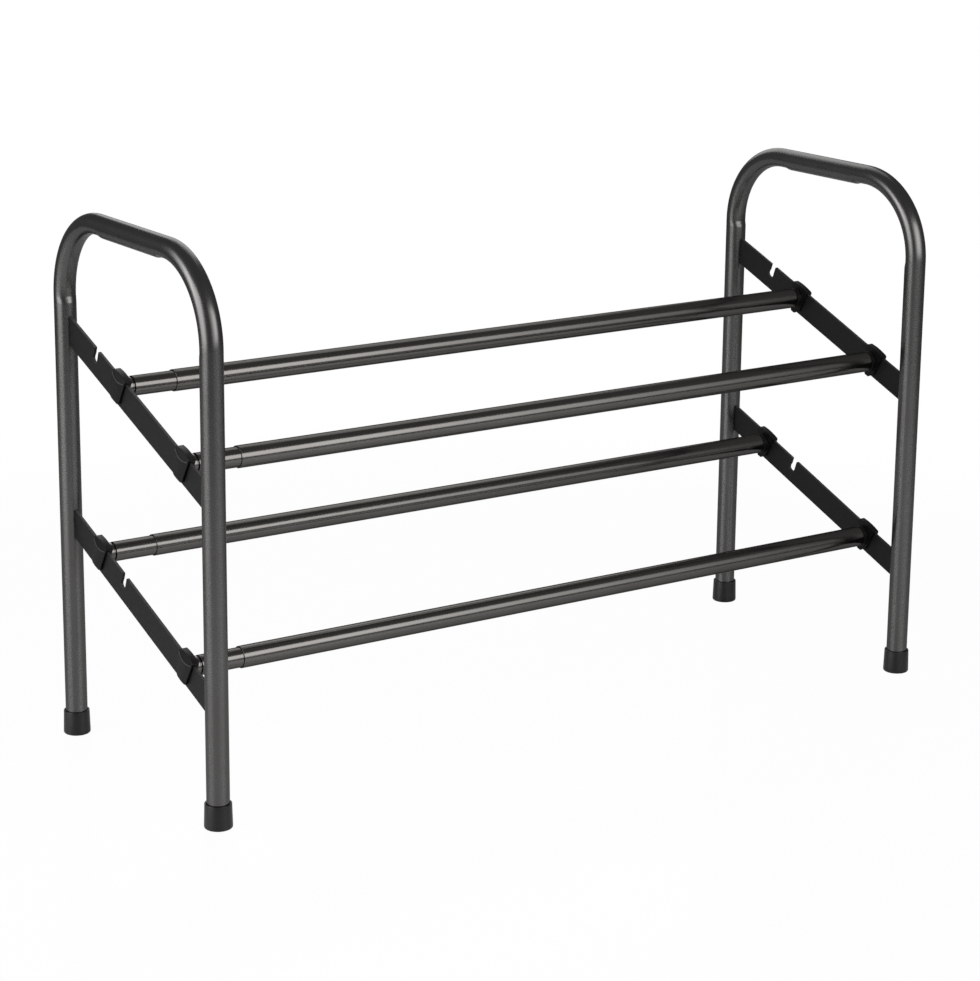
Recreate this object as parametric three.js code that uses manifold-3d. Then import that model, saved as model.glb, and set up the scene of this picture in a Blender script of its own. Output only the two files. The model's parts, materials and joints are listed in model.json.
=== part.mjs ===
// Two tier pull out shoe rack.
// Two end frames of bent steel tube carry two sloping flat rails each, and four telescopic rods
// span them. A plastic clip at each rod end drops into a notch in the rail's top edge.
// Units are millimetres. +Z is up, +X runs along the rods from the left end frame to the right one,
// the front is at -Y, and the origin lies on the floor at the middle of the footprint.

import * as THREE from 'three';
import { mergeVertices } from 'three/addons/utils/BufferGeometryUtils.js';
import Module from 'manifold-3d';

const wasm = await Module();
wasm.setup();

// Whole rack
const rackLength = 607; // between the planes of the two end frames
const rackDepth = 218; // between the centrelines of the front and rear posts
const rackHeight = 395; // floor to the top of the hoops

// Clearances
const seatGap = 0.3; // between pieces that are pressed, welded or dropped together
const slideGap = 0.25; // between the inner and the outer tube of a rod
const overrun = 2; // how far a cutting tool runs past what it cuts
const bury = 0.6; // how far two joined forms of one piece run into each other

// End hoops
const hoopTubeDiameter = 16;
const hoopTubeWall = 1;
const bendRadius = 58; // to the tube's centreline
const bendPressDepth = 1.1; // how far the bending die flattens the tube's inner side
const bendPressLead = 2.4; // arc length over which that flattening starts

// Foot caps
const footTopDiameter = 18.8;
const footBottomDiameter = 19.8;
const footHeight = 17.8;
const footBaseThickness = 2.6;
const footEdgeRadius = 1.6;
const footRimRadius = 0.6;

// Flat rails
const railThickness = 2;
const railHeight = 20; // square to its length
const railSlope = THREE.MathUtils.degToRad(20.6); // up towards the rear
const upperRailHeight = 276.7; // of the top edge, halfway between the posts
const lowerRailHeight = 134.7;

// Notches. The two rear ones are placed from the rail's rear end and the front one from its front
// end, along the top edge
const rearNotchInset = 45.6;
const middleNotchInset = 83.8;
const frontNotchInset = 33.1;
const notchWidth = 5.8;
const notchDepth = 10.5;
const notchMouthRadius = 0.9;
const notchUndercut = 0.7; // of the uphill wall, near the bottom

// Telescopic rods
const outerTubeDiameter = 15.6;
const outerTubeWall = 0.45;
const innerTubeDiameter = outerTubeDiameter - 2 * outerTubeWall - 2 * slideGap;
const innerTubeWall = 0.7;
const rodAxisDrop = 7.6; // rod axis below the rail's top edge, square to the rail
const shownInnerLength = 31.7; // inner tube left uncovered, from its clip's side
const tubeEndInset = 8.8; // tube end to the plane of its end frame

// Rod clips. Their sizes run inward along the rod, uphill along the rail and square to the rail
const clipFlangeThickness = 1.8;
const clipCollarLength = 4.5;
const clipCollarChamfer = 0.4;
const clipRoofHalfWidth = 9.4;
const clipRoofThickness = 2.1; // above the rail, at the roof's ends
const clipRoofCrown = 0.9; // how much higher the roof is in its middle
const clipRoofCorner = 1;
const clipFootHalfWidth = 6.8;
const clipFootCorner = 2.4;
const clipReach = 17.8; // leg and flange below the rail's top edge
const clipLegSideStand = 2.6; // leg's outer face from the rail's middle plane, at its sides
const clipLegBulge = 1; // how much further out the leg's face is in its middle
const clipRoofStand = 1.9; // roof's outer edge from the rail's middle plane
const clipRidgeDrop = 1.8; // lowest point of the ridge below the rail's top edge
const clipTongueHalfWidth = 2.8;
const clipTongueReach = 20.8; // tongue under the flange, below the rail's top edge
const clipTongueCorner = 0.9;
const clipSpigotLength = 22;
const clipSpigotWall = 1.7;
const clipSpigotFloor = 3;
const clipSpigotChamfer = 0.8;

// Facets
const tubeSides = 24;
const bendSteps = 8; // per right angle
const curveSteps = 4; // per small curve
const clipCurveSteps = 6; // per long curve of a clip

const hoopPaint = { color: 0x5f6062, roughness: 0.36, metalness: 0.75 };
const railPaint = { color: 0x2b2b2c, roughness: 0.55, metalness: 0.2 };
const rodPaint = { color: 0x4c4a49, roughness: 0.32, metalness: 0.75 };
const clipPlastic = { color: 0x1d1d1e, roughness: 0.45, metalness: 0 };
const footRubber = { color: 0x232323, roughness: 0.6, metalness: 0 };

// Sizes that follow from the ones above
const hoopTubeRadius = hoopTubeDiameter / 2;
const hoopBore = hoopTubeDiameter - 2 * hoopTubeWall;
const crownHeight = rackHeight - hoopTubeRadius;
const bendCentreHeight = crownHeight - bendRadius;
const bendCentreDepth = rackDepth / 2 - bendRadius;
const outerTubeBore = outerTubeDiameter - 2 * outerTubeWall;
const innerTubeBore = innerTubeDiameter - 2 * innerTubeWall;
const clipSlotHalf = railThickness / 2 + seatGap;
const clipFlangeEnd = clipSlotHalf + clipFlangeThickness;
const clipCollarEnd = clipFlangeEnd + clipCollarLength;
const clipLegStand = clipLegSideStand + clipLegBulge;
const railTopHalf = (rackDepth / 2 - hoopTubeRadius - seatGap) / Math.cos(railSlope);
const rearNotchPlace = railTopHalf - rearNotchInset;
const middleNotchPlace = railTopHalf - middleNotchInset;
const frontNotchPlace = frontNotchInset - railTopHalf;
const outerTubeLength = rackLength - 2 * tubeEndInset - shownInnerLength;
const innerTubeLength = outerTubeLength; // both tubes are cut from one stock length

// Turns that lay a drawn outline into the part's frame
const alongX = new THREE.Matrix4().makeBasis(
  new THREE.Vector3(0, 1, 0),
  new THREE.Vector3(0, 0, 1),
  new THREE.Vector3(1, 0, 0),
);
const alongY = new THREE.Matrix4().makeBasis(
  new THREE.Vector3(1, 0, 0),
  new THREE.Vector3(0, 0, 1),
  new THREE.Vector3(0, -1, 0),
);

function bareGeometry(geometry) {
  const bare = geometry.index ? geometry.toNonIndexed() : geometry.clone();
  bare.deleteAttribute('normal');
  bare.deleteAttribute('uv');
  return mergeVertices(bare);
}

function solidOf(geometry) {
  const bare = bareGeometry(geometry);
  return new wasm.Manifold(new wasm.Mesh({
    numProp: 3,
    vertProperties: new Float32Array(bare.attributes.position.array),
    triVerts: new Uint32Array(bare.index.array),
  }));
}

function geometryOf(solid) {
  const mesh = solid.getMesh();
  const geometry = new THREE.BufferGeometry();
  geometry.setAttribute('position', new THREE.BufferAttribute(mesh.vertProperties, 3));
  geometry.setIndex(new THREE.BufferAttribute(mesh.triVerts, 1));
  const faceted = geometry.toNonIndexed();
  faceted.computeVertexNormals();
  return faceted;
}

function piece(name, geometry, look) {
  const mesh = new THREE.Mesh(geometry, new THREE.MeshStandardMaterial(look));
  mesh.name = name;
  return mesh;
}

// A prism of an outline drawn in the plane across an axis, from start to end along that axis
function prism(outline, turn, start, end, steps) {
  const geometry = new THREE.ExtrudeGeometry(outline, {
    depth: end - start,
    bevelEnabled: false,
    curveSegments: steps,
  });
  geometry.translate(0, 0, start);
  return geometry.applyMatrix4(turn);
}

// A turned piece about the X axis, from points of radius and place along the axis
function turnedAlongX(points) {
  const profile = points.map(([radius, place]) => new THREE.Vector2(radius, place));
  return new THREE.LatheGeometry(profile, tubeSides).rotateZ(-Math.PI / 2);
}

// Hoop: centreline of a post, a bend, the crown, a bend and the other post. The path's parameter
// steps from one station to the next, so the straights need no sections of their own.
class HoopPath extends THREE.Curve {
  constructor(stations) {
    super();
    this.stations = stations;
  }

  between(t, field) {
    const place = THREE.MathUtils.clamp(t, 0, 1) * (this.stations.length - 1);
    const before = Math.min(Math.floor(place), this.stations.length - 2);
    const from = this.stations[before][field];
    const to = this.stations[before + 1][field];
    return from.clone().lerp(to, place - before);
  }

  getPoint(t) {
    return this.between(t, 'point');
  }

  getTangent(t) {
    return this.between(t, 'heading').normalize();
  }

  getUtoTmapping(u) {
    return u;
  }
}

function bendAngles() {
  const lead = bendPressLead / bendRadius;
  const quarter = Math.PI / 2;
  const inside = Array.from({ length: bendSteps - 1 }, (_, step) => quarter * (step + 1) / bendSteps);
  return [0, lead, ...inside, quarter - lead, quarter];
}

function hoopStations() {
  const footEnd = footBaseThickness + seatGap;
  const stations = [{ point: [-rackDepth / 2, footEnd], heading: [0, 1] }];
  for (const angle of bendAngles()) {
    stations.push({
      point: [
        -bendCentreDepth - bendRadius * Math.cos(angle),
        bendCentreHeight + bendRadius * Math.sin(angle),
      ],
      heading: [Math.sin(angle), Math.cos(angle)],
    });
  }
  for (const angle of bendAngles()) {
    stations.push({
      point: [
        bendCentreDepth + bendRadius * Math.sin(angle),
        bendCentreHeight + bendRadius * Math.cos(angle),
      ],
      heading: [Math.cos(angle), -Math.sin(angle)],
    });
  }
  stations.push({ point: [rackDepth / 2, footEnd], heading: [0, -1] });
  return stations.map(({ point, heading }) => ({
    point: new THREE.Vector3(0, ...point),
    heading: new THREE.Vector3(0, ...heading),
  }));
}

// The bending die leaves the inner half of each bend flatter than round
function pressBends(geometry) {
  const place = geometry.attributes.position;
  const lead = bendPressLead / bendRadius;
  for (let i = 0; i < place.count; i += 1) {
    const across = Math.abs(place.getY(i)) - bendCentreDepth;
    const up = place.getZ(i) - bendCentreHeight;
    const out = Math.hypot(across, up) - bendRadius;
    const angle = Math.atan2(up, across);
    const fade = Math.min(angle, Math.PI / 2 - angle) / lead;
    if (across > 0 && up > 0 && out < 0 && fade > 0) {
      const pressed = out * (1 - Math.min(fade, 1) * bendPressDepth / hoopTubeRadius);
      const depth = bendCentreDepth + (bendRadius + pressed) * Math.cos(angle);
      place.setY(i, Math.sign(place.getY(i)) * depth);
      place.setZ(i, bendCentreHeight + (bendRadius + pressed) * Math.sin(angle));
    }
  }
  return geometry;
}

function hoopGeometry() {
  const path = new HoopPath(hoopStations());
  const section = new THREE.Shape().absarc(0, 0, hoopTubeRadius, 0, 2 * Math.PI);
  section.holes.push(new THREE.Path().absarc(0, 0, hoopBore / 2, 0, 2 * Math.PI));
  const geometry = new THREE.ExtrudeGeometry(section, {
    steps: path.stations.length - 1,
    extrudePath: path,
    curveSegments: tubeSides / 2,
  });
  return pressBends(geometry);
}

// Foot: a rubber cap that the post stands in
function footGeometry() {
  const bore = hoopTubeRadius + seatGap;
  const bottom = footBottomDiameter / 2;
  const top = footTopDiameter / 2;
  const profile = new THREE.Path();
  profile.moveTo(0, 0);
  profile.lineTo(bottom - footEdgeRadius, 0);
  profile.quadraticCurveTo(bottom, 0, bottom, footEdgeRadius);
  profile.lineTo(top, footHeight - footRimRadius);
  profile.quadraticCurveTo(top, footHeight, top - footRimRadius, footHeight);
  profile.lineTo(bore, footHeight);
  profile.lineTo(bore, footBaseThickness);
  profile.lineTo(0, footBaseThickness);
  return new THREE.LatheGeometry(profile.getPoints(curveSteps), tubeSides).rotateX(Math.PI / 2);
}

// Rail: a flat bar cut upright at both posts, with its notches open at the top edge
function cutNotch(outline, place) {
  const half = notchWidth / 2;
  const uphill = place + half;
  const downhill = place - half;
  const undercutTop = notchDepth / 2;
  const undercutPlace = uphill + notchUndercut;
  const shoulder = notchDepth - half;
  outline.lineTo(uphill + notchMouthRadius, 0);
  outline.quadraticCurveTo(uphill, 0, uphill, -notchMouthRadius);
  outline.lineTo(uphill, -undercutTop);
  outline.lineTo(undercutPlace, -shoulder);
  outline.quadraticCurveTo(undercutPlace, -notchDepth, place, -notchDepth);
  outline.quadraticCurveTo(downhill, -notchDepth, downhill, -shoulder);
  outline.lineTo(downhill, -notchMouthRadius);
  outline.quadraticCurveTo(downhill, 0, downhill - notchMouthRadius, 0);
}

function railGeometry() {
  const shift = railHeight * Math.tan(railSlope);
  const outline = new THREE.Shape();
  outline.moveTo(-railTopHalf - shift, -railHeight);
  outline.lineTo(railTopHalf - shift, -railHeight);
  outline.lineTo(railTopHalf, 0);
  for (const place of [rearNotchPlace, middleNotchPlace, frontNotchPlace]) {
    cutNotch(outline, place);
  }
  outline.lineTo(-railTopHalf, 0);
  return prism(outline, alongX, -railThickness / 2, railThickness / 2, curveSteps);
}

// Rod tubes
function tubeGeometry(diameter, bore, length) {
  return turnedAlongX([
    [bore / 2, 0],
    [diameter / 2, 0],
    [diameter / 2, length],
    [bore / 2, length],
    [bore / 2, 0],
  ]);
}

// Clip, drawn for the left end frame: its rail lies in the plane x = 0, the rod goes to +X, +Y is
// uphill along the rail and the rail's top edge is at z = 0
function clipOutline() {
  const roofEdge = seatGap + clipRoofThickness;
  const outline = new THREE.Shape();
  outline.moveTo(-clipFootHalfWidth + clipFootCorner, -clipReach);
  outline.lineTo(clipFootHalfWidth - clipFootCorner, -clipReach);
  outline.quadraticCurveTo(clipFootHalfWidth, -clipReach, clipFootHalfWidth, -clipReach + clipFootCorner);
  outline.lineTo(clipRoofHalfWidth, 0);
  outline.lineTo(clipRoofHalfWidth, roofEdge - clipRoofCorner);
  outline.quadraticCurveTo(clipRoofHalfWidth, roofEdge, clipRoofHalfWidth - clipRoofCorner, roofEdge);
  const crownPull = roofEdge + 2 * clipRoofCrown;
  outline.quadraticCurveTo(0, crownPull, -clipRoofHalfWidth + clipRoofCorner, roofEdge);
  outline.quadraticCurveTo(-clipRoofHalfWidth, roofEdge, -clipRoofHalfWidth, roofEdge - clipRoofCorner);
  outline.lineTo(-clipRoofHalfWidth, 0);
  outline.lineTo(-clipFootHalfWidth, -clipReach + clipFootCorner);
  outline.quadraticCurveTo(-clipFootHalfWidth, -clipReach, -clipFootHalfWidth + clipFootCorner, -clipReach);
  return outline;
}

function clipPlan() {
  const plan = new THREE.Shape();
  plan.moveTo(clipFlangeEnd, -clipRoofHalfWidth - overrun);
  plan.lineTo(clipFlangeEnd, clipRoofHalfWidth + overrun);
  plan.lineTo(-clipLegSideStand, clipRoofHalfWidth + overrun);
  plan.lineTo(-clipLegSideStand, clipRoofHalfWidth);
  const bulgePull = clipLegSideStand + 2 * clipLegBulge;
  plan.quadraticCurveTo(-bulgePull, 0, -clipLegSideStand, -clipRoofHalfWidth);
  plan.lineTo(-clipLegSideStand, -clipRoofHalfWidth - overrun);
  return plan;
}

// The roof slopes down to the leg: its cut meets the leg's bulged face in a curved ridge
function clipRoofCutter() {
  const roofEdge = seatGap + clipRoofThickness;
  const run = (clipLegStand - clipRoofStand) / (roofEdge + clipRidgeDrop);
  const top = roofEdge + clipRoofCrown + overrun;
  const low = -clipRidgeDrop - overrun;
  const wedge = new THREE.Shape();
  wedge.moveTo(-clipRoofStand + run * (top - roofEdge), top);
  wedge.lineTo(-clipLegStand - run * overrun, low);
  wedge.lineTo(-clipLegStand - overrun, low);
  wedge.lineTo(-clipLegStand - overrun, top);
  const half = clipRoofHalfWidth + overrun;
  return prism(wedge, alongY, -half, half, curveSteps);
}

function clipNeck() {
  const half = notchWidth / 2 - seatGap;
  const bottom = -notchDepth + seatGap;
  const neck = new THREE.Shape();
  neck.moveTo(half, seatGap + bury);
  neck.lineTo(-half, seatGap + bury);
  neck.lineTo(-half, bottom + half);
  neck.quadraticCurveTo(-half, bottom, 0, bottom);
  neck.quadraticCurveTo(half, bottom, half, bottom + half);
  return prism(neck, alongX, -clipSlotHalf - bury, clipSlotHalf + bury, curveSteps);
}

function clipTongue() {
  const half = clipTongueHalfWidth;
  const tongue = new THREE.Shape();
  tongue.moveTo(-half, -clipReach + bury);
  tongue.lineTo(-half, -clipTongueReach + clipTongueCorner);
  tongue.lineTo(-half + clipTongueCorner, -clipTongueReach);
  tongue.lineTo(half - clipTongueCorner, -clipTongueReach);
  tongue.lineTo(half, -clipTongueReach + clipTongueCorner);
  tongue.lineTo(half, -clipReach + bury);
  return prism(tongue, alongX, clipSlotHalf, clipFlangeEnd, curveSteps);
}

function clipSpigot(tubeDiameter, tubeBore) {
  const collar = tubeDiameter / 2;
  const spigot = tubeBore / 2 - seatGap;
  const hollow = spigot - clipSpigotWall;
  const end = clipCollarEnd + clipSpigotLength;
  const turned = turnedAlongX([
    [0, clipFlangeEnd - bury],
    [collar, clipFlangeEnd - bury],
    [collar, clipCollarEnd - clipCollarChamfer],
    [collar - clipCollarChamfer, clipCollarEnd],
    [spigot, clipCollarEnd],
    [spigot, end - clipSpigotChamfer],
    [spigot - clipSpigotChamfer, end],
    [hollow, end],
    [hollow, clipCollarEnd + clipSpigotFloor],
    [0, clipCollarEnd + clipSpigotFloor],
  ]);
  return turned.translate(0, 0, -rodAxisDrop);
}

function clipGeometry(tubeDiameter, tubeBore) {
  const tall = clipReach + overrun;
  const wide = 2 * (clipRoofHalfWidth + overrun);
  const outline = prism(clipOutline(), alongX, -clipLegStand - overrun, clipFlangeEnd, clipCurveSteps);
  const plan = prism(clipPlan(), new THREE.Matrix4(), -tall, tall, clipCurveSteps);
  const slot = new THREE.BoxGeometry(2 * clipSlotHalf, wide, tall + seatGap);
  slot.translate(0, 0, seatGap - (tall + seatGap) / 2);
  const body = solidOf(outline)
    .intersect(solidOf(plan))
    .subtract(solidOf(clipRoofCutter()))
    .subtract(solidOf(slot))
    .add(solidOf(clipNeck()))
    .add(solidOf(clipTongue()))
    .add(solidOf(clipSpigot(tubeDiameter, tubeBore)));
  return geometryOf(body);
}

// A piece for the right end frame is the left one's mirror image
function mirrored(geometry) {
  const other = geometry.clone();
  const place = other.attributes.position;
  for (let i = 0; i < place.count; i += 3) {
    const corners = [0, 2, 1].map((k) => new THREE.Vector3().fromBufferAttribute(place, i + k));
    corners.forEach((corner, k) => place.setXYZ(i + k, -corner.x, corner.y, corner.z));
  }
  other.computeVertexNormals();
  return other;
}

const shoeRack = new THREE.Group();
const hoop = hoopGeometry();
const foot = footGeometry();
const rail = railGeometry();
const innerTube = tubeGeometry(innerTubeDiameter, innerTubeBore, innerTubeLength);
const outerTube = tubeGeometry(outerTubeDiameter, outerTubeBore, outerTubeLength);
const leftClip = clipGeometry(innerTubeDiameter, innerTubeBore);
const rightClip = mirrored(clipGeometry(outerTubeDiameter, outerTubeBore));

const ends = [['left', -1], ['right', 1]];
const rows = [['front', -1], ['rear', 1]];

// End frames and feet
for (const [end, side] of ends) {
  const frame = new THREE.Group();
  frame.position.x = side * rackLength / 2;
  frame.add(piece(`${end}_hoop`, hoop, hoopPaint));
  for (const [row, way] of rows) {
    const cap = piece(`${end}_${row}_foot`, foot, footRubber);
    cap.position.y = way * rackDepth / 2;
    frame.add(cap);
  }
  shoeRack.add(frame);
}

// Tiers: rails, rods and clips share one sloping frame. The upper rear rod sits in the middle
// notches and the lower rear rod in the rear ones
const tiers = [
  { tier: 'upper', height: upperRailHeight, places: { rear: middleNotchPlace, front: frontNotchPlace } },
  { tier: 'lower', height: lowerRailHeight, places: { rear: rearNotchPlace, front: frontNotchPlace } },
];
for (const { tier, height, places } of tiers) {
  const slope = new THREE.Group();
  slope.position.z = height;
  slope.rotation.x = railSlope;
  for (const [end, side] of ends) {
    const bar = piece(`${end}_${tier}_rail`, rail, railPaint);
    bar.position.x = side * rackLength / 2;
    slope.add(bar);
  }
  for (const [row] of rows) {
    const rod = new THREE.Group();
    rod.position.y = places[row];
    const leftEnd = piece(`${tier}_${row}_left_clip`, leftClip, clipPlastic);
    leftEnd.position.x = -rackLength / 2;
    const rightEnd = piece(`${tier}_${row}_right_clip`, rightClip, clipPlastic);
    rightEnd.position.x = rackLength / 2;
    const inner = piece(`${tier}_${row}_inner_tube`, innerTube, rodPaint);
    inner.position.set(-rackLength / 2 + tubeEndInset, 0, -rodAxisDrop);
    const outer = piece(`${tier}_${row}_outer_tube`, outerTube, rodPaint);
    outer.position.set(rackLength / 2 - tubeEndInset - outerTubeLength, 0, -rodAxisDrop);
    rod.add(leftEnd, rightEnd, inner, outer);
    slope.add(rod);
  }
  shoeRack.add(slope);
}

export default shoeRack;
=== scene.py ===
import json
from math import cos, hypot, pi, radians, sin

import bmesh
import bpy
from mathutils import Matrix, Vector


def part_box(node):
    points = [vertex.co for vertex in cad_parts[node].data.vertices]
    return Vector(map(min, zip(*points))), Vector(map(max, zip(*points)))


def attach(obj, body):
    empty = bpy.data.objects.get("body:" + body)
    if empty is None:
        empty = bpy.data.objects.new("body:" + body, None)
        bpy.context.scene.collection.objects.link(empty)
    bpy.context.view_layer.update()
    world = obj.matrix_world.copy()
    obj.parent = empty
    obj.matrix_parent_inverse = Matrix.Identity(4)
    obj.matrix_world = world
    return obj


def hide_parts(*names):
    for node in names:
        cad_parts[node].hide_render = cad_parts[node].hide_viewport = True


mm = 0.001

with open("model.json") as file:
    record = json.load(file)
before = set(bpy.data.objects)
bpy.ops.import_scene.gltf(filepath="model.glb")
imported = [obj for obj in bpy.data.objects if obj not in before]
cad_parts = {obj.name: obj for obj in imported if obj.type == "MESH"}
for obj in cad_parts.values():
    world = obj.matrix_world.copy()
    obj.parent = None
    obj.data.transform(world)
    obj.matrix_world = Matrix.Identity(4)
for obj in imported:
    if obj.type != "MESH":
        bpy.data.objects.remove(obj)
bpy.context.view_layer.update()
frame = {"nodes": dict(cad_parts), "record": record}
print("frame loaded:", len(frame["nodes"]), "nodes")

ends = {"left": -1, "right": 1}  # with each end's side of the middle
rows = ["front", "rear"]
tiers = ["upper", "lower"]


class Wire:
    # an output of a node; sums, products and comparisons of wires add Math nodes
    def __init__(self, tree, socket):
        self.tree = tree
        self.socket = socket

    def __add__(self, other):
        return self.tree.math("ADD", self, other)

    __radd__ = __add__

    def __sub__(self, other):
        return self.tree.math("SUBTRACT", self, other)

    def __rsub__(self, other):
        return self.tree.math("SUBTRACT", other, self)

    def __mul__(self, other):
        return self.tree.math("MULTIPLY", self, other)

    __rmul__ = __mul__

    def __gt__(self, other):
        return self.tree.math("GREATER_THAN", self, other)

    def __lt__(self, other):
        return self.tree.math("LESS_THAN", self, other)

    def larger(self, other):
        return self.tree.math("MAXIMUM", self, other)


class Tree:
    # a node tree that is written as expressions
    def __init__(self, nodeTree):
        self.nodes = nodeTree.nodes
        self.links = nodeTree.links
        self.nodes.clear()

    def add(self, kind, settings, sockets):
        # makes one node and gives its outputs by place and by name
        node = self.nodes.new(kind)
        for name, value in settings.items():
            setattr(node, name, value)
        for name, value in sockets.items():
            if isinstance(value, Wire):
                self.links.new(value.socket, node.inputs[name])
            else:
                node.inputs[name].default_value = value
        byPlace = {place: Wire(self, out) for place, out in enumerate(node.outputs)}
        byName = {wire.socket.name: wire for wire in byPlace.values()}
        return {**byPlace, **byName}

    def math(self, operation, first, second):
        return self.add("ShaderNodeMath", {"operation": operation}, {0: first, 1: second})["Value"]

    def noise(self, where, scale, detail):
        sockets = {"Vector": where, "Scale": scale, "Detail": detail}
        return self.add("ShaderNodeTexNoise", {}, sockets)["Fac"]

    def mixColor(self, share, first, second):
        # a Mix node's colours are its sockets 6 and 7, and its output 2
        sockets = {0: share, 6: first, 7: second}
        return self.add("ShaderNodeMix", {"data_type": "RGBA"}, sockets)[2]


def grey(value, warm=0.0):
    return (value * (1 + warm), value, value * (1 - warm), 1.0)


def newMaterial(name):
    material = bpy.data.materials.new(name)
    material.use_nodes = True
    return material, Tree(material.node_tree)


# the hoops' gun-metal coat and the rods' smoother, browner one
hoopCoat = {
    "base": 0.12, "warm": 0.015, "metallic": 1.0, "edgeTint": 0.65, "shine": 0.5,
    "roughness": 0.27, "roughnessSpread": 0.05,
    "peelScale": 900.0, "peelDepth": 0.006 * mm, "mottleScale": 28.0, "mottle": 0.10,
}
rodCoat = {
    "base": 0.12, "warm": 0.04, "metallic": 1.0, "edgeTint": 0.3, "shine": 0.5,
    "roughness": 0.19, "roughnessSpread": 0.04,
    "peelScale": 1100.0, "peelDepth": 0.01 * mm, "mottleScale": 28.0, "mottle": 0.08,
}

# the three blacks, and the grey of a painted highlight along the rails' top edges and the clips'
# lips
railCoat = {
    "base": 0.008, "warm": 0.0, "metallic": 0.0, "edgeTint": 1.0, "shine": 0.18,
    "roughness": 0.5, "roughnessSpread": 0.08,
    "peelScale": 1300.0, "peelDepth": 0.03 * mm, "mottleScale": 40.0, "mottle": 0.12,
    "paintedHighlight": 0.05,
}
clipPlastic = {
    "base": 0.005, "warm": 0.0, "metallic": 0.0, "edgeTint": 1.0, "shine": 0.15,
    "roughness": 0.42, "roughnessSpread": 0.06,
    "peelScale": 2200.0, "peelDepth": 0.02 * mm, "mottleScale": 90.0, "mottle": 0.10,
    "paintedHighlight": 0.06, "sleeveInside": 300.2 * mm,  # from the middle of the rack
}
footRubber = {
    "base": 0.006, "warm": 0.0, "metallic": 0.0, "edgeTint": 1.0, "shine": 0.42,
    "roughness": 0.36, "roughnessSpread": 0.06,
    "peelScale": 1600.0, "peelDepth": 0.04 * mm, "mottleScale": 120.0, "mottle": 0.15,
}

# the same in every coat; the mottling's dark side is warmer and its pale side cooler
grain = {"mottleDetail": 4.0, "peelDetail": 2.0, "warmShift": 0.01}


def coatMaterial(name, coat):
    # a sprayed or moulded surface: fine peel, faint mottling and a little spread in its gloss
    material, tree = newMaterial(name)
    place = tree.add("ShaderNodeTexCoord", {}, {})["Object"]
    mottle = tree.noise(place, coat["mottleScale"], grain["mottleDetail"])
    peel = tree.noise(place, coat["peelScale"], grain["peelDetail"])
    low = grey(coat["base"] * (1 - coat["mottle"]), coat["warm"] + grain["warmShift"])
    high = grey(coat["base"] * (1 + coat["mottle"]), coat["warm"] - grain["warmShift"])
    color = tree.mixColor(mottle, low, high)
    spread = coat["roughnessSpread"]
    rough = coat["roughness"] + (mottle - 0.5) * spread + (peel - 0.5) * spread
    metallic = coat["metallic"]
    if "paintedHighlight" in coat:
        # painted highlight: the clips' lips and the rails' top edges are painted paler where light
        # would catch them
        paintedHighlight = tree.add("ShaderNodeAttribute", {"attribute_name": "paintedHighlightMask"}, {})["Fac"]
        color = tree.mixColor(paintedHighlight, color, grey(coat["paintedHighlight"]))
    if "sleeveInside" in coat:
        # the left clips' collars wear a sleeve with the rods' finish
        across = tree.add("ShaderNodeSeparateXYZ", {}, {0: place})["X"]
        metallic = (across > -coat["sleeveInside"]) * (across < 0.0)
        color = tree.mixColor(metallic, color, grey(rodCoat["base"], rodCoat["warm"]))
        rough = rough + metallic * (rodCoat["roughness"] - coat["roughness"])
    bumpSockets = {"Height": peel, "Strength": 1.0, "Distance": coat["peelDepth"]}
    bump = tree.add("ShaderNodeBump", {}, bumpSockets)["Normal"]
    shader = tree.add("ShaderNodeBsdfPrincipled", {}, {
        "Base Color": color,
        "Metallic": metallic,
        "Specular IOR Level": coat["shine"],
        "Specular Tint": grey(coat["edgeTint"]),
        "Roughness": rough,
        "Normal": bump,
    })["BSDF"]
    tree.add("ShaderNodeOutputMaterial", {}, {"Surface": shader})
    return material


materials = {
    "hoop_paint": coatMaterial("hoopCoat", hoopCoat),
    "rod_paint": coatMaterial("rodCoat", rodCoat),
    "rail_paint": coatMaterial("railCoat", railCoat),
    "clip_plastic": coatMaterial("clipPlastic", clipPlastic),
    "foot_rubber": coatMaterial("footRubber", footRubber),
}
print("materials made")

mergeWithin = 0.001 * mm
foundWithin = 0.01 * mm  # a point this near to a ring or a plane is on it


def bodyOf(node):
    bodies = frame["record"]["behaviour"]["bodies"]
    return next(body for body, members in bodies.items() if node in members)


def finishPiece(bm, node, slot, modifiers=(), smoothTo=radians(35)):
    bmesh.ops.remove_doubles(bm, verts=bm.verts, dist=mergeWithin)
    bmesh.ops.recalc_face_normals(bm, faces=bm.faces)
    mesh = bpy.data.meshes.new(node + "_dressed")
    bm.to_mesh(mesh)
    bm.free()
    piece = bpy.data.objects.new(node + "_dressed", mesh)
    bpy.context.scene.collection.objects.link(piece)
    mesh.materials.append(materials[slot])
    for kind, settings in modifiers:
        modifier = piece.modifiers.new(kind.title(), kind)
        for name, value in settings.items():
            setattr(modifier, name, value)
    mesh.shade_smooth()
    mesh.set_sharp_from_angle(angle=smoothTo)
    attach(piece, bodyOf(node))
    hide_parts(node)


def extrudeRing(bm, ring, step):
    made = bmesh.ops.extrude_edge_only(bm, edges=ring)["geom"]
    verts = [v for v in made if isinstance(v, bmesh.types.BMVert)]
    bmesh.ops.translate(bm, verts=verts, vec=step)
    return [e for e in made if isinstance(e, bmesh.types.BMEdge)]


def spin(bm, geom, centre, axis, angle, steps, merge):
    return bmesh.ops.spin(
        bm, geom=geom, cent=centre, axis=axis, dvec=(0, 0, 0), angle=angle,
        space=Matrix.Identity(4), steps=steps, use_merge=merge, use_normal_flip=False,
        use_duplicate=False,
    )


def bevel(bm, edges, width, segments, clamp=False):
    bmesh.ops.bevel(
        bm, geom=edges, offset=width, offset_type="OFFSET", segments=segments, profile=0.5,
        affect="EDGES", clamp_overlap=clamp, material=-1,
    )


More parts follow.
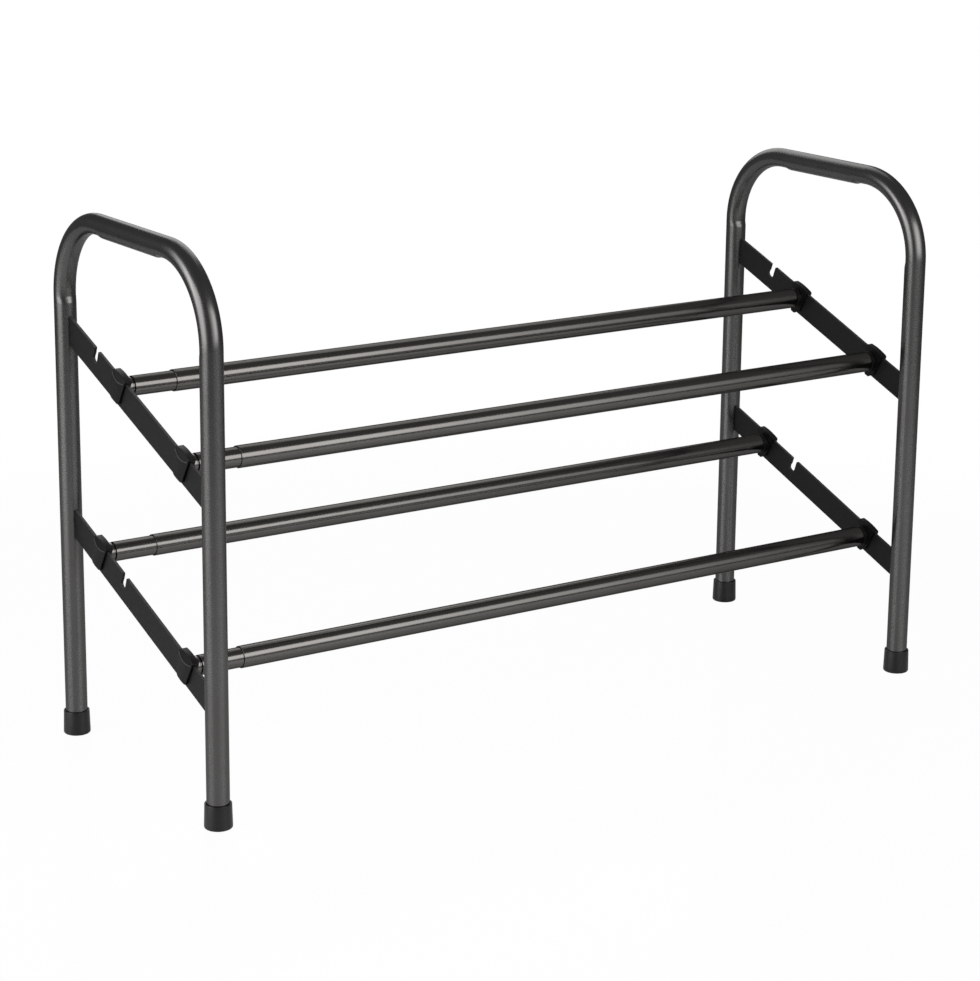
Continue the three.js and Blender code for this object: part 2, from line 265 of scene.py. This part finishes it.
def ringEdges(bm, centre, axis, along, radius):
    # the edges of the ring at one place along the axis and one radius about it
    others = [k for k in range(3) if k != axis]

    def onRing(v):
        out = hypot(*(v.co[k] - centre[k] for k in others))
        return abs(v.co[axis] - along) < foundWithin and abs(out - radius) < foundWithin
    return [e for e in bm.edges if all(onRing(v) for v in e.verts)]


# end hoops; the die presses the inner half of each bend, and a little of both straights
hoop = {
    "tube": 16 * mm, "wall": 1 * mm, "sides": 64, "bendRadius": 58 * mm, "bendSteps": 44,
    "press": 1.2 * mm, "pressOnPost": 0.5 * mm, "pressOnCrown": 7 * mm,
    "lead": 5 * mm, "leadSteps": 6,
    "stay": 2 * mm,  # a last ring this far on keeps the straight's shading true
}


def spinBend(bm, ring, centre):
    made = spin(bm, ring, centre, (-1, 0, 0), pi / 2, hoop["bendSteps"], False)["geom_last"]
    return [e for e in made if isinstance(e, bmesh.types.BMEdge)]


def extrudeTo(bm, ring, direction, stops):
    # one ring of the tube at each stop along a straight
    for last, stop in zip([0] + stops, stops):
        ring = extrudeRing(bm, ring, direction * (stop - last))
    return ring


def pressStops(onStraight):
    # where the pressed end of a straight needs rings, counted from the bend
    steps = hoop["leadSteps"]
    leads = [onStraight + hoop["lead"] * k / steps for k in range(steps + 1)]
    return leads + [leads[-1] + hoop["stay"]]


def pressBends(bm, bendY, bendZ):
    def bite(beyond):
        # the share of the half tube that stays, on a smooth step from pressed to round
        share = 1 - min(max(beyond / hoop["lead"], 0), 1)
        return 1 - share * share * (3 - 2 * share) * hoop["press"] / (hoop["tube"] / 2)

    radius = hoop["bendRadius"]
    for v in bm.verts:
        across = abs(v.co.y) - bendY
        up = v.co.z - bendZ
        side = 1 if v.co.y > 0 else -1
        if across <= 0:
            if up < radius:
                v.co.z = bendZ + radius + (up - radius) * bite(-across - hoop["pressOnCrown"])
        elif up <= 0:
            if across < radius:
                pressed = radius + (across - radius) * bite(-up - hoop["pressOnPost"])
                v.co.y = side * (bendY + pressed)
        elif hypot(across, up) < radius:
            reach = hypot(across, up)
            pressed = radius + (reach - radius) * bite(0)
            v.co.y = side * (bendY + across / reach * pressed)
            v.co.z = bendZ + up / reach * pressed


def makeHoop(node):
    low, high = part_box(node)
    radius = hoop["tube"] / 2
    planeX = (low.x + high.x) / 2
    postY = high.y - radius
    bendY = postY - hoop["bendRadius"]
    bendZ = high.z - radius - hoop["bendRadius"]
    post, crown = bendZ - low.z, 2 * bendY
    postStops, crownStops = pressStops(hoop["pressOnPost"]), pressStops(hoop["pressOnCrown"])
    up = [hoop["stay"]] + [post - stop for stop in reversed(postStops)] + [post]
    over = crownStops + [crown - stop for stop in reversed(crownStops)] + [crown]
    down = postStops + [post - hoop["stay"], post]
    bm = bmesh.new()
    bmesh.ops.create_circle(
        bm, segments=hoop["sides"], radius=radius,
        matrix=Matrix.Translation((planeX, -postY, low.z)),
    )
    ring = extrudeTo(bm, bm.edges[:], Vector((0, 0, 1)), up)
    ring = spinBend(bm, ring, (planeX, -bendY, bendZ))
    ring = extrudeTo(bm, ring, Vector((0, 1, 0)), over)
    ring = spinBend(bm, ring, (planeX, bendY, bendZ))
    extrudeTo(bm, ring, Vector((0, 0, -1)), down)
    pressBends(bm, bendY, bendZ)
    wall = ("SOLIDIFY", {"thickness": hoop["wall"], "offset": -1})
    finishPiece(bm, node, "hoop_paint", [wall])


for end in ends:
    makeHoop(end + "_hoop")
print("hoops made")

# rubber foot caps, pressed over the posts' ends
foot = {
    "base": 2.6 * mm, "gap": 0.3 * mm, "top": 18.8 * mm, "bottom": 19.8 * mm,
    "edgeRound": 1.4 * mm, "rimRound": 0.5 * mm, "boreRound": 0.25 * mm,
    "roundSteps": 5, "sides": 96,
}


def makeFoot(node):
    low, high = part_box(node)
    centre = (low + high) / 2
    bore = hoop["tube"] / 2 + foot["gap"]
    bm = bmesh.new()
    outline = [
        (0, low.z), (foot["bottom"] / 2, low.z), (foot["top"] / 2, high.z),
        (bore, high.z), (bore, foot["base"]), (0, foot["base"]),
    ]
    verts = [bm.verts.new((centre.x + r, centre.y, z)) for r, z in outline]
    edges = [bm.edges.new(pair) for pair in zip(verts, verts[1:])]
    spin(bm, verts + edges, (centre.x, centre.y, 0), (0, 0, 1), 2 * pi, foot["sides"], True)
    bmesh.ops.remove_doubles(bm, verts=bm.verts, dist=mergeWithin)
    for r, z, width in (
        (foot["bottom"] / 2, low.z, foot["edgeRound"]),
        (foot["top"] / 2, high.z, foot["rimRound"]),
        (bore, high.z, foot["boreRound"]),
    ):
        bevel(bm, ringEdges(bm, centre, 2, z, r), width, foot["roundSteps"])
    finishPiece(bm, node, "foot_rubber")


for end in ends:
    for row in rows:
        makeFoot(f"{end}_{row}_foot")
print("feet made")

# rod tubes; the inner ones slide in the outer ones
tube = {
    "outer": {"diameter": 15.6 * mm, "wall": 0.45 * mm},
    "inner": {"diameter": 14.2 * mm, "wall": 0.7 * mm},
    "endRound": 0.2 * mm, "roundSteps": 4, "sides": 64,
    "stay": 1.2 * mm,  # a ring this far from each end keeps the straight's shading true
}


def makeTube(node, diameter, wall):
    low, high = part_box(node)
    centre = (low + high) / 2
    outer, inner = diameter / 2, diameter / 2 - wall
    stay = tube["stay"]
    outline = [
        (low.x, inner), (low.x, outer), (low.x + stay, outer), (high.x - stay, outer),
        (high.x, outer), (high.x, inner), (high.x - stay, inner), (low.x + stay, inner),
    ]
    bm = bmesh.new()
    verts = [bm.verts.new((x, centre.y, centre.z + r)) for x, r in outline]
    edges = [bm.edges.new(pair) for pair in zip(verts, verts[1:] + verts[:1])]
    spin(bm, verts + edges, (0, centre.y, centre.z), (1, 0, 0), 2 * pi, tube["sides"], True)
    for x in (low.x, high.x):
        for r in (inner, outer):
            bevel(bm, ringEdges(bm, centre, 0, x, r), tube["endRound"], tube["roundSteps"])
    finishPiece(bm, node, "rod_paint")


for tier in tiers:
    for row in rows:
        for kind in ("outer", "inner"):
            makeTube(f"{tier}_{row}_{kind}_tube", **tube[kind])
print("rods made")

# rails and clips keep the form of their CAD solids and get broken edges
cadForm = {
    "mergeWithin": 0.002 * mm, "flatTo": radians(1), "cornerFrom": radians(19),
    "breakSteps": 3, "smoothTo": radians(50),
}
rail = {"slope": radians(20.6), "edge": 0.4 * mm, "intoPost": 0.8 * mm, "topFacing": 0.5}
clip = {
    "edge": 0.4 * mm, "railPlane": 303.5 * mm, "axisDrop": 7.6 * mm, "halfWidth": 8.8 * mm,
    "sideDepth": 2.6 * mm, "bulge": 1.0 * mm, "roofSpan": 9.4 * mm, "ridgeDrop": 1.8 * mm,
    "rise": 2.47 * mm, "lipRadius": 0.45 * mm, "lipSides": 10, "lipSteps": 14,
}


def cadCopy(node):
    # a merged copy of the node's mesh, with each flat as one face
    bm = bmesh.new()
    bm.from_mesh(frame["nodes"][node].data)
    bmesh.ops.remove_doubles(bm, verts=bm.verts, dist=cadForm["mergeWithin"])
    bmesh.ops.dissolve_limit(
        bm, angle_limit=cadForm["flatTo"], verts=bm.verts, edges=bm.edges,
        use_dissolve_boundaries=False,
    )
    return bm


def breakEdges(bm, width):
    # gives back a new layer, for how much painted highlight each point takes
    corners = [
        e for e in bm.edges
        if len(e.link_faces) == 2 and e.calc_face_angle() > cadForm["cornerFrom"]
    ]
    bevel(bm, corners, width, cadForm["breakSteps"], clamp=True)
    return bm.verts.layers.float.new("paintedHighlightMask")


def finishCopy(bm, node, slot):
    flats = ("WEIGHTED_NORMAL", {"keep_sharp": True})
    finishPiece(bm, node, slot, [flats], cadForm["smoothTo"])


def makeRail(node):
    low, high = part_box(node)
    bm = cadCopy(node)
    for v in bm.verts:
        # both ends run into the posts that they are welded to
        if v.co.y < low.y + foundWithin:
            v.co.y -= rail["intoPost"]
        if v.co.y > high.y - foundWithin:
            v.co.y += rail["intoPost"]
    paintedHighlightMask = breakEdges(bm, rail["edge"])
    # painted highlight on the faces that face up, along the rails' top edges
    topward = Vector((0, -sin(rail["slope"]), cos(rail["slope"])))
    for face in bm.faces:
        if face.normal.dot(topward) > rail["topFacing"]:
            for v in face.verts:
                v[paintedHighlightMask] = 1.0
    finishCopy(bm, node, "rail_paint")


def ridgePoint(along, side, axisY, axisZ):
    # on the ridge between a clip's crowned roof and its bulged outer leg
    slope = rail["slope"]
    fall = (along / clip["roofSpan"]) ** 2
    out = clip["railPlane"] + clip["sideDepth"] + clip["bulge"] * (1 - fall)
    up = clip["rise"] * fall - clip["ridgeDrop"] + clip["axisDrop"]
    y = axisY + along * cos(slope) - up * sin(slope)
    z = axisZ + along * sin(slope) + up * cos(slope)
    return Vector((side * out, y, z))


def addLip(bm, paintedHighlightMask, side, tubeNode):
    # a fine moulded lip along that ridge, painted pale all over as a highlight
    untouched = set(bm.verts)
    low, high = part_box(tubeNode)
    axisY, axisZ = (low.y + high.y) / 2, (low.z + high.z) / 2
    steps = clip["lipSteps"]
    alongs = [clip["halfWidth"] * (2 * k / steps - 1) for k in range(steps + 1)]
    places = [ridgePoint(along, side, axisY, axisZ) for along in alongs]
    alongSlope = Matrix.Rotation(rail["slope"] - pi / 2, 4, "X")
    made = bmesh.ops.create_circle(
        bm, cap_ends=True, segments=clip["lipSides"], radius=clip["lipRadius"],
        matrix=Matrix.Translation(places[0]) @ alongSlope,
    )
    ring = [e for e in bm.edges if all(v in made["verts"] for v in e.verts)]
    for last, place in zip(places, places[1:]):
        ring = extrudeRing(bm, ring, place - last)
    bmesh.ops.edgeloop_fill(bm, edges=ring)
    # painted highlight over the whole lip
    for v in set(bm.verts) - untouched:
        v[paintedHighlightMask] = 1.0


def makeClip(node, end, tubeNode):
    bm = cadCopy(node)
    paintedHighlightMask = breakEdges(bm, clip["edge"])
    addLip(bm, paintedHighlightMask, ends[end], tubeNode)
    finishCopy(bm, node, "clip_plastic")


for end in ends:
    for tier in tiers:
        makeRail(f"{end}_{tier}_rail")
for tier in tiers:
    for row in rows:
        for end in ends:
            kind = "inner" if end == "left" else "outer"
            makeClip(f"{tier}_{row}_{end}_clip", end, f"{tier}_{row}_{kind}_tube")
print("rails and clips made")


def whiteShare(tree, seen, mirrored):
    # how much plain white the camera sees, and how much of it glossy surfaces mirror
    path = tree.add("ShaderNodeLightPath", {}, {})
    byMirror = path["Is Glossy Ray"].larger(path["Is Transmission Ray"])
    return path["Is Camera Ray"] * seen + byMirror * mirrored


# a glossy white table top that fades into the white behind it
tableTop = {
    "radius": 1.4, "sides": 96, "color": 0.88, "roughness": 0.17,
    "seen": 0.97, "fadeFrom": 0.6, "fadeTo": 0.95,
    # painted pool of light: glossy rays see the table glow white round litSpot, fading away from
    # it
    "mirrored": 0.34, "litSpot": (-0.3, -0.5, 0), "litFrom": 0.35, "litTo": 0.95,
}


def makeFloor():
    bm = bmesh.new()
    bmesh.ops.create_circle(
        bm, cap_ends=True, segments=tableTop["sides"], radius=tableTop["radius"],
    )
    mesh = bpy.data.meshes.new("floor")
    bm.to_mesh(mesh)
    bm.free()
    floor = bpy.data.objects.new("floor", mesh)
    bpy.context.scene.collection.objects.link(floor)
    material, tree = newMaterial("tableTop")
    place = tree.add("ShaderNodeTexCoord", {}, {})["Object"]
    out = tree.add("ShaderNodeVectorMath", {"operation": "LENGTH"}, {0: place})["Value"]
    away = tree.add("ShaderNodeVectorMath", {"operation": "DISTANCE"}, {
        0: place, 1: tableTop["litSpot"],
    })["Value"]
    # painted reflection of a lit patch: the glow that metal mirrors, strongest at litSpot
    mirrored = tree.add("ShaderNodeMapRange", {"interpolation_type": "SMOOTHSTEP"}, {
        "Value": away, "From Min": tableTop["litFrom"], "From Max": tableTop["litTo"],
        "To Min": tableTop["mirrored"], "To Max": 0.0,
    })["Result"]
    seen = tree.add("ShaderNodeMapRange", {"interpolation_type": "SMOOTHSTEP"}, {
        "Value": out, "From Min": tableTop["fadeFrom"], "From Max": tableTop["fadeTo"],
        "To Min": tableTop["seen"], "To Max": 1.0,
    })["Result"]
    top = tree.add("ShaderNodeBsdfPrincipled", {}, {
        "Base Color": grey(tableTop["color"]), "Roughness": tableTop["roughness"],
    })["BSDF"]
    white = tree.add("ShaderNodeEmission", {}, {"Color": grey(1.0), "Strength": 1.0})["Emission"]
    surface = tree.add("ShaderNodeMixShader", {}, {
        0: whiteShare(tree, seen, mirrored), 1: top, 2: white,
    })["Shader"]
    tree.add("ShaderNodeOutputMaterial", {}, {"Surface": surface})
    mesh.materials.append(material)


# a dim room round the table
room = {"seen": 1.0, "mirrored": 0.13, "dome": 0.08}


def makeWorld():
    world = bpy.data.worlds.new("studio")
    bpy.context.scene.world = world
    world.use_nodes = True
    tree = Tree(world.node_tree)
    share = whiteShare(tree, room["seen"], room["mirrored"])
    color = tree.mixColor(share, grey(room["dome"]), grey(1.0))
    back = tree.add("ShaderNodeBackground", {}, {"Color": color, "Strength": 1.0})["Background"]
    tree.add("ShaderNodeOutputWorld", {}, {"Surface": back})


# soft boxes: three behind each other in front, two on the left, and three from behind
lamps = {
    "front": {
        "place": (0.34, -1.22, 0.72), "facing": (0, 1, -0.35),
        "size": (0.7, 0.82), "radiance": 1.45,
    },
    "frontMiddle": {
        "place": (0.35, -1.25, 0.71), "facing": (0, 1, -0.35),
        "size": (1.25, 0.9), "radiance": 1.15,
    },
    "frontWide": {
        "place": (0.34, -1.28, 0.69), "facing": (0, 1, -0.35),
        "size": (1.84, 1.0), "radiance": 0.85,
    },
    "left": {
        "place": (-1.72, 0.03, 0.71), "facing": (1, 0, -0.1),
        "size": (1.15, 1.3), "radiance": 2.25,
    },
    "rear": {
        "place": (0.65, 1.25, 1.05), "facing": (-0.55, -1.1, -0.65),
        "size": (1.1, 0.9), "radiance": 2.0,
    },
    "top": {
        "place": (0.62, 0.75, 1.57), "facing": (-0.54, -0.44, -0.72),
        "size": (0.9, 0.5), "radiance": 1.0,
    },
    "leftRear": {
        "place": (-1.42, 0.62, 0.95), "facing": (1, -0.35, -0.2),
        "size": (0.75, 0.8), "radiance": 2.4,
    },
    "leftWide": {
        "place": (-1.87, 0.0, 0.72), "facing": (1, 0, -0.1),
        "size": (1.88, 1.54), "radiance": 1.15,
    },
}


def makeLamp(name, lamp):
    data = bpy.data.lights.new(name + "Lamp", "AREA")
    data.shape = "RECTANGLE"
    data.size, data.size_y = lamp["size"]
    data.energy = lamp["radiance"] * pi * data.size * data.size_y
    turn = Vector(lamp["facing"]).to_track_quat("-Z", "Y").to_matrix().to_4x4()
    light = bpy.data.objects.new(name + "Lamp", data)
    light.matrix_world = Matrix.Translation(lamp["place"]) @ turn
    bpy.context.scene.collection.objects.link(light)


# the photograph's own view; focus, width, height and centre row are in its pixels
shot = {
    "place": (-1137.0 * mm, -1672.0 * mm, 723.1 * mm),
    "yaw": radians(33.92), "pitch": radians(-14.37), "roll": radians(0.58),
    "focus": 2794.7, "width": 980.0, "height": 981.0, "centreRow": 440.0, "sensor": 36.0,
}


def makeCamera():
    yaw, pitch, roll = shot["yaw"], shot["pitch"], shot["roll"]
    ahead = Vector((sin(yaw) * cos(pitch), cos(yaw) * cos(pitch), sin(pitch)))
    level = Vector((cos(yaw), -sin(yaw), 0))
    above = level.cross(ahead)
    right = cos(roll) * level + sin(roll) * above
    up = cos(roll) * above - sin(roll) * level
    data = bpy.data.cameras.new("camera")
    data.sensor_fit = "HORIZONTAL"
    data.sensor_width = shot["sensor"]
    data.lens = shot["sensor"] * shot["focus"] / shot["width"]
    data.shift_y = (shot["centreRow"] - shot["height"] / 2) / shot["width"]
    camera = bpy.data.objects.new("camera", data)
    turn = Matrix((right, up, -ahead)).transposed().to_4x4()
    camera.matrix_world = Matrix.Translation(shot["place"]) @ turn
    bpy.context.scene.collection.objects.link(camera)
    bpy.context.scene.camera = camera


makeFloor()
makeWorld()
for name, lamp in lamps.items():
    makeLamp(name, lamp)
makeCamera()
bpy.context.scene.view_settings.view_transform = "Standard"
print("studio set")
